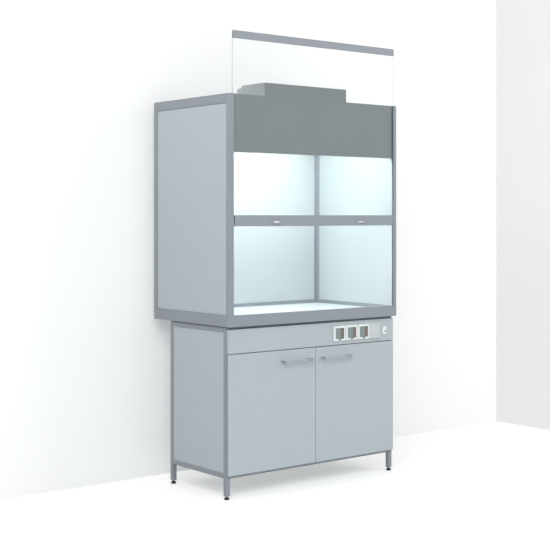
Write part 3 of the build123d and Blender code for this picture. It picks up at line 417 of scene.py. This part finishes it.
def softened(node, width):
    """A copy of a CAD piece with its sharp edges broken by a small radius."""
    mesh = frame["nodes"][node].data.copy()
    mesh.name = f"{node}_softened"
    work = bmesh.new()
    work.from_mesh(mesh)
    bmesh.ops.remove_doubles(work, verts=work.verts, dist=WELD_DISTANCE)
    bmesh.ops.dissolve_limit(
        work, angle_limit=math.radians(FLAT_ANGLE), verts=work.verts, edges=work.edges
    )
    work.to_mesh(mesh)
    work.free()
    made = bpy.data.objects.new(f"{node}_finished", mesh)
    bpy.context.scene.collection.objects.link(made)
    edges = made.modifiers.new("edges", "BEVEL")
    edges.width = width
    edges.segments = EDGE_SEGMENTS
    edges.limit_method = "ANGLE"
    edges.angle_limit = math.radians(CREASE_ANGLE)
    edges.harden_normals = True
    mesh.shade_smooth()
    mesh.set_sharp_from_angle(angle=math.radians(CREASE_ANGLE))
    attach(made, BODY_OF_NODE[node])
    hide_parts(node)
    return made


# Button head of a screw: radius and height of each edge, as shares of the head's radius,
# from the rim of its washer over the crown to the floor of the driver recess
SCREW_PROFILE = (
    (1.25, 0.0), (1.25, 0.12), (0.98, 0.14), (0.9, 0.42),
    (0.66, 0.62), (0.4, 0.66), (0.34, 0.3), (0.0, 0.26),
)
SCREW_STEPS = 20


def screw_head(work, place, axis, radius):
    """Adds a button head with a round driver recess, standing on a face."""
    profile = [(radius * reach, radius * height) for reach, height in SCREW_PROFILE]
    turned(work, profile, place, axis, SCREW_STEPS)


# Frame, rails and sheet parts with broken edges

PROFILE_EDGE = 0.7 * MM
SHEET_EDGE = 0.5 * MM
BOARD_EDGE = 0.8 * MM

for frame_node in (
    "post_front_left", "post_front_right", "post_rear_left", "post_rear_right",
    "sill_rail", "hood_lower_rails", "hood_upper_rails",
):
    softened(frame_node, PROFILE_EDGE)
for sheet_node in ("fascia", "lamp_housing"):
    softened(sheet_node, SHEET_EDGE)
for board_node in ("side_panel_left", "side_panel_right", "base_side_panels"):
    softened(board_node, BOARD_EDGE)


# Sash glass: a pane with ground and polished edges

GROUND_EDGE = 0.6 * MM
FACING_SHARE = 0.9


def build_sash_pane(work):
    """The pane, with its two faces in glass and its edges in the edge's material."""
    low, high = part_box("sash_glass")
    slab(work, low, high, GROUND_EDGE)
    for face in work.faces:
        face.material_index = 0 if abs(face.normal.y) > FACING_SHARE else 1


sash_pane = piece(
    "sash_pane", build_sash_pane, "sash", ["glass", "glass_edge"], smooth_angle=0
)
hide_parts("sash_glass")


# Lamp tubes: glass with pressed metal caps

TUBE_STEPS = 32
TUBE_CAP_LENGTH = 12 * MM
TUBE_CAP_PROUD = 0.5 * MM
TUBE_GLASS_INSET = 1 * MM


def build_lamp_tubes(work):
    """Two glass tubes side by side, with a cap on each of their ends."""
    low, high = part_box("lamp_tubes")
    cap_radius = (high.z - low.z) / 2
    glass_radius = cap_radius - TUBE_CAP_PROUD
    cap = TUBE_CAP_LENGTH
    level = (low.z + high.z) / 2
    length = high.x - low.x
    glass_profile = [
        (0, 0), (glass_radius, 0), (glass_radius, length - 2 * TUBE_GLASS_INSET), (0, length),
    ]
    cap_profile = [
        (0, 0), (cap_radius * 0.8, 0), (cap_radius, 1.2 * MM),
        (cap_radius, cap - 1.5 * MM), (cap_radius * 0.97, cap), (glass_radius, cap),
    ]
    for y in (low.y + cap_radius, high.y - cap_radius):
        start = (low.x + TUBE_GLASS_INSET, y, level)
        turned(work, glass_profile, start, (1, 0, 0), TUBE_STEPS)
        for end, inward in ((low.x, 1), (high.x, -1)):
            turned(work, cap_profile, (end, y, level), (inward, 0, 0), TUBE_STEPS, material=1)


lit_tubes = piece("lit_tubes", build_lamp_tubes, "frame", ["tube", "steel"])
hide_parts("lamp_tubes")


# Exhaust spigot: a rolled collar with two beads, on a screwed flange

SPIGOT_RADIUS = 100 * MM
SPIGOT_SHEET = 1.5 * MM
SPIGOT_FLANGE = 2 * MM
SPIGOT_RIM_ROUND = 0.4 * MM
SPIGOT_STEPS = 96
BEAD_REACH = 1.6 * MM
BEAD_SUNK_SHARE = 0.2
BEAD_HALF_HEIGHT = 3 * MM
BEAD_LEVEL_SHARES = (0.38, 0.62)
BEAD_STEPS = 6
SPIGOT_SCREW_COUNT = 8
SPIGOT_SCREW_INSET = 12 * MM
SPIGOT_SCREW_RADIUS = 3.5 * MM


def build_spigot(work):
    """The flange, the collar with its beads, and the rolled lip at its top."""
    low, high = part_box("exhaust_spigot")
    centre = ((low.x + high.x) / 2, (low.y + high.y) / 2, low.z)
    rim = (high.x - low.x) / 2
    height = high.z - low.z
    outside = SPIGOT_RADIUS
    inside = outside - SPIGOT_SHEET
    top = SPIGOT_FLANGE
    edge = SPIGOT_RIM_ROUND
    profile = [(inside, 0), (rim - edge, 0), (rim, edge), (rim, top - edge), (rim - edge, top)]
    profile += [(outside + SPIGOT_SHEET, top), (outside, top + SPIGOT_SHEET)]
    for share in BEAD_LEVEL_SHARES:
        for step in range(BEAD_STEPS + 1):
            angle = math.pi * step / BEAD_STEPS
            reach = outside + BEAD_REACH * (math.sin(angle) - BEAD_SUNK_SHARE)
            profile.append((reach, height * share - BEAD_HALF_HEIGHT * math.cos(angle)))
    profile += [(outside - 0.4 * MM, height - 0.6 * MM), (outside - 0.8 * MM, height)]
    profile += [(inside, height - 0.3 * MM), (inside, 0)]
    turned(work, profile, centre, (0, 0, 1), SPIGOT_STEPS)


def build_spigot_screws(work):
    """A circle of screws on the flange."""
    low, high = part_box("exhaust_spigot")
    centre = Vector(((low.x + high.x) / 2, (low.y + high.y) / 2, low.z + SPIGOT_FLANGE))
    circle = (high.x - low.x) / 2 - SPIGOT_SCREW_INSET
    for step in range(SPIGOT_SCREW_COUNT):
        angle = 2 * math.pi * (step + 0.5) / SPIGOT_SCREW_COUNT
        place = centre + circle * Vector((math.cos(angle), math.sin(angle), 0))
        screw_head(work, place, (0, 0, 1), SPIGOT_SCREW_RADIUS)


spigot_collar = piece("spigot_collar", build_spigot, "frame", ["spigot"])
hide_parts("exhaust_spigot")
piece("spigot_screws", build_spigot_screws, "frame", ["steel"])


# Screws of the rear cover, sunk into its sheet, and of the lamp housing

REAR_SCREW_RADIUS = 2.6 * MM
REAR_SCREW_INSET = 14 * MM
REAR_SCREW_SUNK = 1.6 * MM
REAR_SCREW_SPACES = 6
LAMP_SCREW_RADIUS = 2.4 * MM
LAMP_SCREW_LEVEL = 9 * MM
LAMP_END_SHARES = (0.12, 0.42, 0.72)
LAMP_BACK_SHARES = (0.1, 0.5, 0.9)


def build_rear_screws(work):
    """A row of screws along each edge of the rear cover."""
    low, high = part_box("rear_cover")
    inset = REAR_SCREW_INSET
    face = high.y - REAR_SCREW_SUNK
    for step in range(REAR_SCREW_SPACES + 1):
        x = low.x + inset + (high.x - low.x - 2 * inset) * step / REAR_SCREW_SPACES
        for z in (low.z + inset, high.z - inset):
            screw_head(work, (x, face, z), (0, 1, 0), REAR_SCREW_RADIUS)
    for step in range(1, REAR_SCREW_SPACES):
        z = low.z + inset + (high.z - low.z - 2 * inset) * step / REAR_SCREW_SPACES
        for x in (low.x + inset, high.x - inset):
            screw_head(work, (x, face, z), (0, 1, 0), REAR_SCREW_RADIUS)


def build_lamp_screws(work):
    """Screws low on both ends and the back of the lamp housing."""
    low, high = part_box("lamp_housing")
    level = low.z + LAMP_SCREW_LEVEL
    for x, axis in ((low.x, (-1, 0, 0)), (high.x, (1, 0, 0))):
        for share in LAMP_END_SHARES:
            y = low.y + (high.y - low.y) * share
            screw_head(work, (x, y, level), axis, LAMP_SCREW_RADIUS)
    for share in LAMP_BACK_SHARES:
        x = low.x + (high.x - low.x) * share
        screw_head(work, (x, high.y, level), (0, 1, 0), LAMP_SCREW_RADIUS)


piece("rear_cover_screws", build_rear_screws, "frame", ["steel"])
piece("lamp_housing_screws", build_lamp_screws, "frame", ["steel"])


# Sockets: contact sleeves, earth springs, a centre screw and two ribs in each well

SOCKET_FLOOR_DEPTH = (8 + 14) * MM
SLEEVE_FROM_MIDDLE = 9.5 * MM
SLEEVE_OUTSIDE = 2.55 * MM
SLEEVE_INSIDE = 1.9 * MM
SLEEVE_FOOT = 0.2 * MM
SLEEVE_TOP = 10 * MM
SLEEVE_STEPS = 20
SPRING_FROM_MIDDLE = (19.6 * MM, 21.3 * MM)
SPRING_HEIGHT = (0.3 * MM, 12 * MM)
SPRING_HALF_WIDTH = 2.6 * MM
SPRING_EDGE = 0.4 * MM
CENTRE_SCREW_RADIUS = 2.6 * MM
RIB_FROM_MIDDLE = (18.4 * MM, 21.4 * MM)
RIB_HEIGHT = 13.6 * MM
RIB_HALF_WIDTH = 2.4 * MM
RIB_EDGE = 0.5 * MM


def well_floor(node):
    """The middle of the floor of a socket's well."""
    low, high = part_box(node)
    return (low.x + high.x) / 2, low.y + SOCKET_FLOOR_DEPTH, (low.z + high.z) / 2


def build_socket_metal(work, node):
    """Two sleeves for the pins, an earth spring above and below, and a screw."""
    x, floor, z = well_floor(node)
    sleeve = [(SLEEVE_OUTSIDE, SLEEVE_FOOT), (SLEEVE_OUTSIDE, SLEEVE_TOP)]
    sleeve += [(SLEEVE_INSIDE, SLEEVE_TOP), (SLEEVE_INSIDE, SLEEVE_FOOT)]
    sleeve += [(SLEEVE_OUTSIDE, SLEEVE_FOOT)]
    near, far = SPRING_HEIGHT
    for side in (-1, 1):
        place = (x + side * SLEEVE_FROM_MIDDLE, floor, z)
        turned(work, sleeve, place, (0, 1, 0), SLEEVE_STEPS)
        bottom, top = sorted(z + side * reach for reach in SPRING_FROM_MIDDLE)
        slab(
            work, (x - SPRING_HALF_WIDTH, floor - far, bottom),
            (x + SPRING_HALF_WIDTH, floor - near, top), SPRING_EDGE,
        )
    screw_head(work, (x, floor, z), (0, -1, 0), CENTRE_SCREW_RADIUS)


def build_socket_ribs(work, node):
    """A guide rib at the left and the right of the well."""
    x, floor, z = well_floor(node)
    for side in (-1, 1):
        left, right = sorted(x + side * reach for reach in RIB_FROM_MIDDLE)
        slab(
            work, (left, floor - RIB_HEIGHT, z - RIB_HALF_WIDTH),
            (right, floor, z + RIB_HALF_WIDTH), RIB_EDGE,
        )


for number in (1, 2, 3):
    socket_node = f"socket_{number}"
    contacts = partial(build_socket_metal, node=socket_node)
    piece(f"{socket_node}_contacts", contacts, "frame", ["brass"])
    ribs = partial(build_socket_ribs, node=socket_node)
    piece(f"{socket_node}_ribs", ribs, "frame", ["white_plastic"])


# Levelling feet: a hexagon for the spanner above each pad, given by the radius and the
# level of each of its edges, in millimetres

FOOT_HEXAGON = ((6.2, 12.6), (8.0, 13.4), (8.0, 16.9), (6.4, 17.8), (5.8, 17.8))
HEXAGON_SIDES = 6
HEXAGON_SMOOTH_ANGLE = 20.0


def build_foot_nut(work, node):
    """The hexagon round a foot's neck."""
    low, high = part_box(node)
    centre = ((low.x + high.x) / 2, (low.y + high.y) / 2, 0)
    profile = [(radius * MM, level * MM) for radius, level in FOOT_HEXAGON]
    turned(work, profile, centre, (0, 0, 1), HEXAGON_SIDES)


for corner in ("front_left", "front_right", "rear_left", "rear_right"):
    foot_node = f"foot_{corner}"
    piece(
        f"{foot_node}_hexagon", partial(build_foot_nut, node=foot_node),
        BODY_OF_NODE[foot_node], ["steel"], HEXAGON_SMOOTH_ANGLE,
    )


# Studio: floor, walls, world and lamps

STUDIO_COLOUR = (0.86, 0.87, 0.87, 1.0)
WHITE = (1.0, 1.0, 1.0, 1.0)
FLOOR_SIZE = 60.0
FLOOR_GLOW = 0.36
WALL_GLOW = 0.2
WALL_REACH = 12.0
WALL_CORNER = (2.34, 0.43)
AMBIENT = 0.44


def studio_material(name, glow_strength, one_sided=False):
    """A pale matt surface that shows as white where nothing shades it."""
    material, tree, principled = shader(name)
    principled.inputs["Base Color"].default_value = STUDIO_COLOUR
    principled.inputs["Roughness"].default_value = 0.6
    principled.inputs["Specular IOR Level"].default_value = 0.2
    glow = tree.nodes.new("ShaderNodeEmission")
    glow.inputs["Color"].default_value = WHITE
    strength = tree.nodes.new("ShaderNodeMath")
    strength.operation = "MULTIPLY"
    strength.inputs[1].default_value = glow_strength
    seen = ray_is(tree, "Is Camera Ray", "Is Transmission Ray")
    tree.links.new(seen, strength.inputs[0])
    tree.links.new(strength.outputs["Value"], glow.inputs["Strength"])
    total = tree.nodes.new("ShaderNodeAddShader")
    tree.links.new(principled.outputs["BSDF"], total.inputs[0])
    tree.links.new(glow.outputs["Emission"], total.inputs[1])
    surface = total.outputs["Shader"]
    if one_sided:
        side = tree.nodes.new("ShaderNodeNewGeometry")
        nothing = tree.nodes.new("ShaderNodeBsdfTransparent")
        surface = mixed(tree, side.outputs["Backfacing"], surface, nothing.outputs["BSDF"])
    tree.links.new(surface, tree.nodes["Material Output"].inputs["Surface"])
    return material


def studio_plane(name, corners, material):
    """One flat sheet of the studio, which isn't part of the object."""
    mesh = bpy.data.meshes.new(name)
    mesh.from_pydata(corners, [], [(0, 1, 2, 3)])
    plane = bpy.data.objects.new(name, mesh)
    bpy.context.scene.collection.objects.link(plane)
    mesh.materials.append(material)
    return plane


def make_room():
    """The floor, and two walls that only show from inside the room."""
    half = FLOOR_SIZE / 2
    studio_plane(
        "studio_floor", [(-half, -half, 0), (half, -half, 0), (half, half, 0), (-half, half, 0)],
        studio_material("studio_floor", FLOOR_GLOW),
    )
    wall = studio_material("studio_wall", WALL_GLOW, one_sided=True)
    corner_x, corner_y = WALL_CORNER
    back = [(corner_x - WALL_REACH, corner_y), (corner_x, corner_y)]
    right = [(corner_x, corner_y), (corner_x, corner_y - WALL_REACH)]
    for name, (start, end) in (("studio_back_wall", back), ("studio_right_wall", right)):
        corners = [(*start, 0), (*end, 0), (*end, WALL_REACH), (*start, WALL_REACH)]
        plane = studio_plane(name, corners, wall)
        plane.visible_diffuse = False
        plane.visible_glossy = False
        plane.visible_shadow = False


def make_world():
    """Even light from all round, which shows as white to the eye, in gloss and in glass."""
    world = bpy.data.worlds.new("studio")
    bpy.context.scene.world = world
    world.use_nodes = True
    tree = world.node_tree
    background = tree.nodes["Background"]
    background.inputs["Color"].default_value = WHITE
    level = tree.nodes.new("ShaderNodeMapRange")
    level.inputs["To Min"].default_value = AMBIENT
    level.inputs["To Max"].default_value = 1.0
    seen = ray_is(tree, "Is Camera Ray", "Is Transmission Ray", "Is Glossy Ray")
    tree.links.new(seen, level.inputs["Value"])
    tree.links.new(level.outputs["Result"], background.inputs["Strength"])


def area_lamp(name, place, target, size, power, colour=(1.0, 1.0, 1.0)):
    """A soft rectangular lamp that points at a target and isn't seen itself."""
    light = bpy.data.lights.new(name, "AREA")
    light.shape = "RECTANGLE"
    light.size, light.size_y = size
    light.energy = power
    light.color = colour
    lamp = bpy.data.objects.new(name, light)
    lamp.location = place
    direction = Vector(target) - Vector(place)
    lamp.rotation_euler = direction.to_track_quat("-Z", "Y").to_euler()
    lamp.visible_camera = False
    lamp.visible_glossy = False
    bpy.context.scene.collection.objects.link(lamp)


def make_chamber_light(drop=6 * MM):
    """The light of the two tubes, just under the glass of the lamp housing."""
    low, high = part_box("lamp_window")
    middle = (low + high) / 2
    area_lamp(
        "chamber_light", place=(middle.x, middle.y, low.z - drop),
        target=(middle.x, middle.y, 0), size=(0.54, 0.15), power=14.5, colour=(0.985, 1.0, 1.0),
    )


make_room()
make_world()
area_lamp("key", place=(-4.4, -4.6, 4.4), target=(0, 0, 1.1), size=(3.6, 3.6), power=222.0)
area_lamp("fill", place=(4.5, -4.0, 3.0), target=(0, 0, 1.0), size=(3.6, 3.6), power=120.0)
area_lamp("side", place=(-2.6, 0.2, 3.6), target=(-0.6, 0, 1.9), size=(1.6, 1.6), power=20.0)
make_chamber_light()


# Camera: the place of the eye in metres, its turn to the right in degrees, and the focal
# length and the row of the horizon in pixels of the image

IMAGE_SIZE = 550.0
FOCAL_PIXELS = 1201.95
HORIZON_ROW = 216.85
CAMERA_YAW = 38.696
CAMERA_PLACE = (-4.2525, -5.27725, 1.456)
SENSOR_WIDTH = 36.0

camera_data = bpy.data.cameras.new("camera")
camera_data.sensor_width = SENSOR_WIDTH
camera_data.lens = FOCAL_PIXELS / IMAGE_SIZE * SENSOR_WIDTH
camera_data.shift_y = (HORIZON_ROW - IMAGE_SIZE / 2) / IMAGE_SIZE
camera = bpy.data.objects.new("camera", camera_data)
camera.location = CAMERA_PLACE
camera.rotation_euler = (math.radians(90), 0, math.radians(-CAMERA_YAW))
bpy.context.scene.collection.objects.link(camera)
bpy.context.scene.camera = camera

bpy.context.scene.view_settings.view_transform = "Standard"
